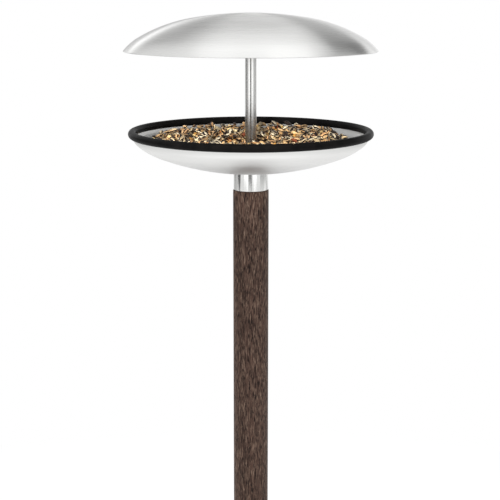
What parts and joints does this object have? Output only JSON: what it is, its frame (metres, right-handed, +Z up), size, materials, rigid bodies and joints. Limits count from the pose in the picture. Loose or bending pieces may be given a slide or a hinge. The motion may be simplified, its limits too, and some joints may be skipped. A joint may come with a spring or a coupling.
{
  "type": "bird table",
  "caption": "Garden bird table: an open round feeding dish with a rubber rim, full of bird seed, on a round wooden post, under a shallow domed roof on a slim rod, with a ground spike.",
  "frame": {"origin": "on the post's axis at ground level, in the underside of the ground flange", "axes": "+Z up along the post's axis, towards the roof; the part is round about +Z, and +X and +Y lie along the spike's full blade and its side fins"},
  "size_m": [0.349, 0.349, 1.5178],
  "materials": {
    "brushed_steel": "spun and finely brushed stainless steel",
    "plain_steel": "plain turned or cut stainless steel",
    "dark_wood": "dark oiled hardwood with fine open pores",
    "black_rubber": "smooth black rubber",
    "bird_seed": "loose mixed bird seed: striped sunflower, wheat, maize and millet"
  },
  "bodies": {
    "post": {"spike_blade": "plain_steel", "spike_fin_back": "plain_steel", "spike_fin_front": "plain_steel", "ground_flange": "plain_steel", "spike_stud": "plain_steel", "post_foot_insert": "plain_steel", "post": "dark_wood", "collar_tube": "brushed_steel", "collar_plate": "plain_steel", "collar_nut": "plain_steel", "collar_screw_1": "plain_steel", "collar_screw_2": "plain_steel", "collar_screw_3": "plain_steel", "dish_gasket": "black_rubber"},
    "dish": {"dish": "brushed_steel", "rim_bead": "black_rubber", "seed_bed": "bird_seed"},
    "roof": {"rod_washer": "black_rubber", "roof_rod": "brushed_steel", "rod_foot_plug": "plain_steel", "rod_head_plug": "plain_steel", "clamp_stud": "plain_steel", "roof_stud": "plain_steel", "roof_boss": "plain_steel", "roof_shell": "brushed_steel"}
  },
  "joints": [
    {"name": "head_lift", "type": "slide", "parent": "post", "child": "dish", "axis": [0, 0, 1], "range_m": [0, 0.05]},
    {"name": "roof_lift", "type": "slide", "parent": "dish", "child": "roof", "axis": [0, 0, 1], "range_m": [0, 0.1]}
  ]
}
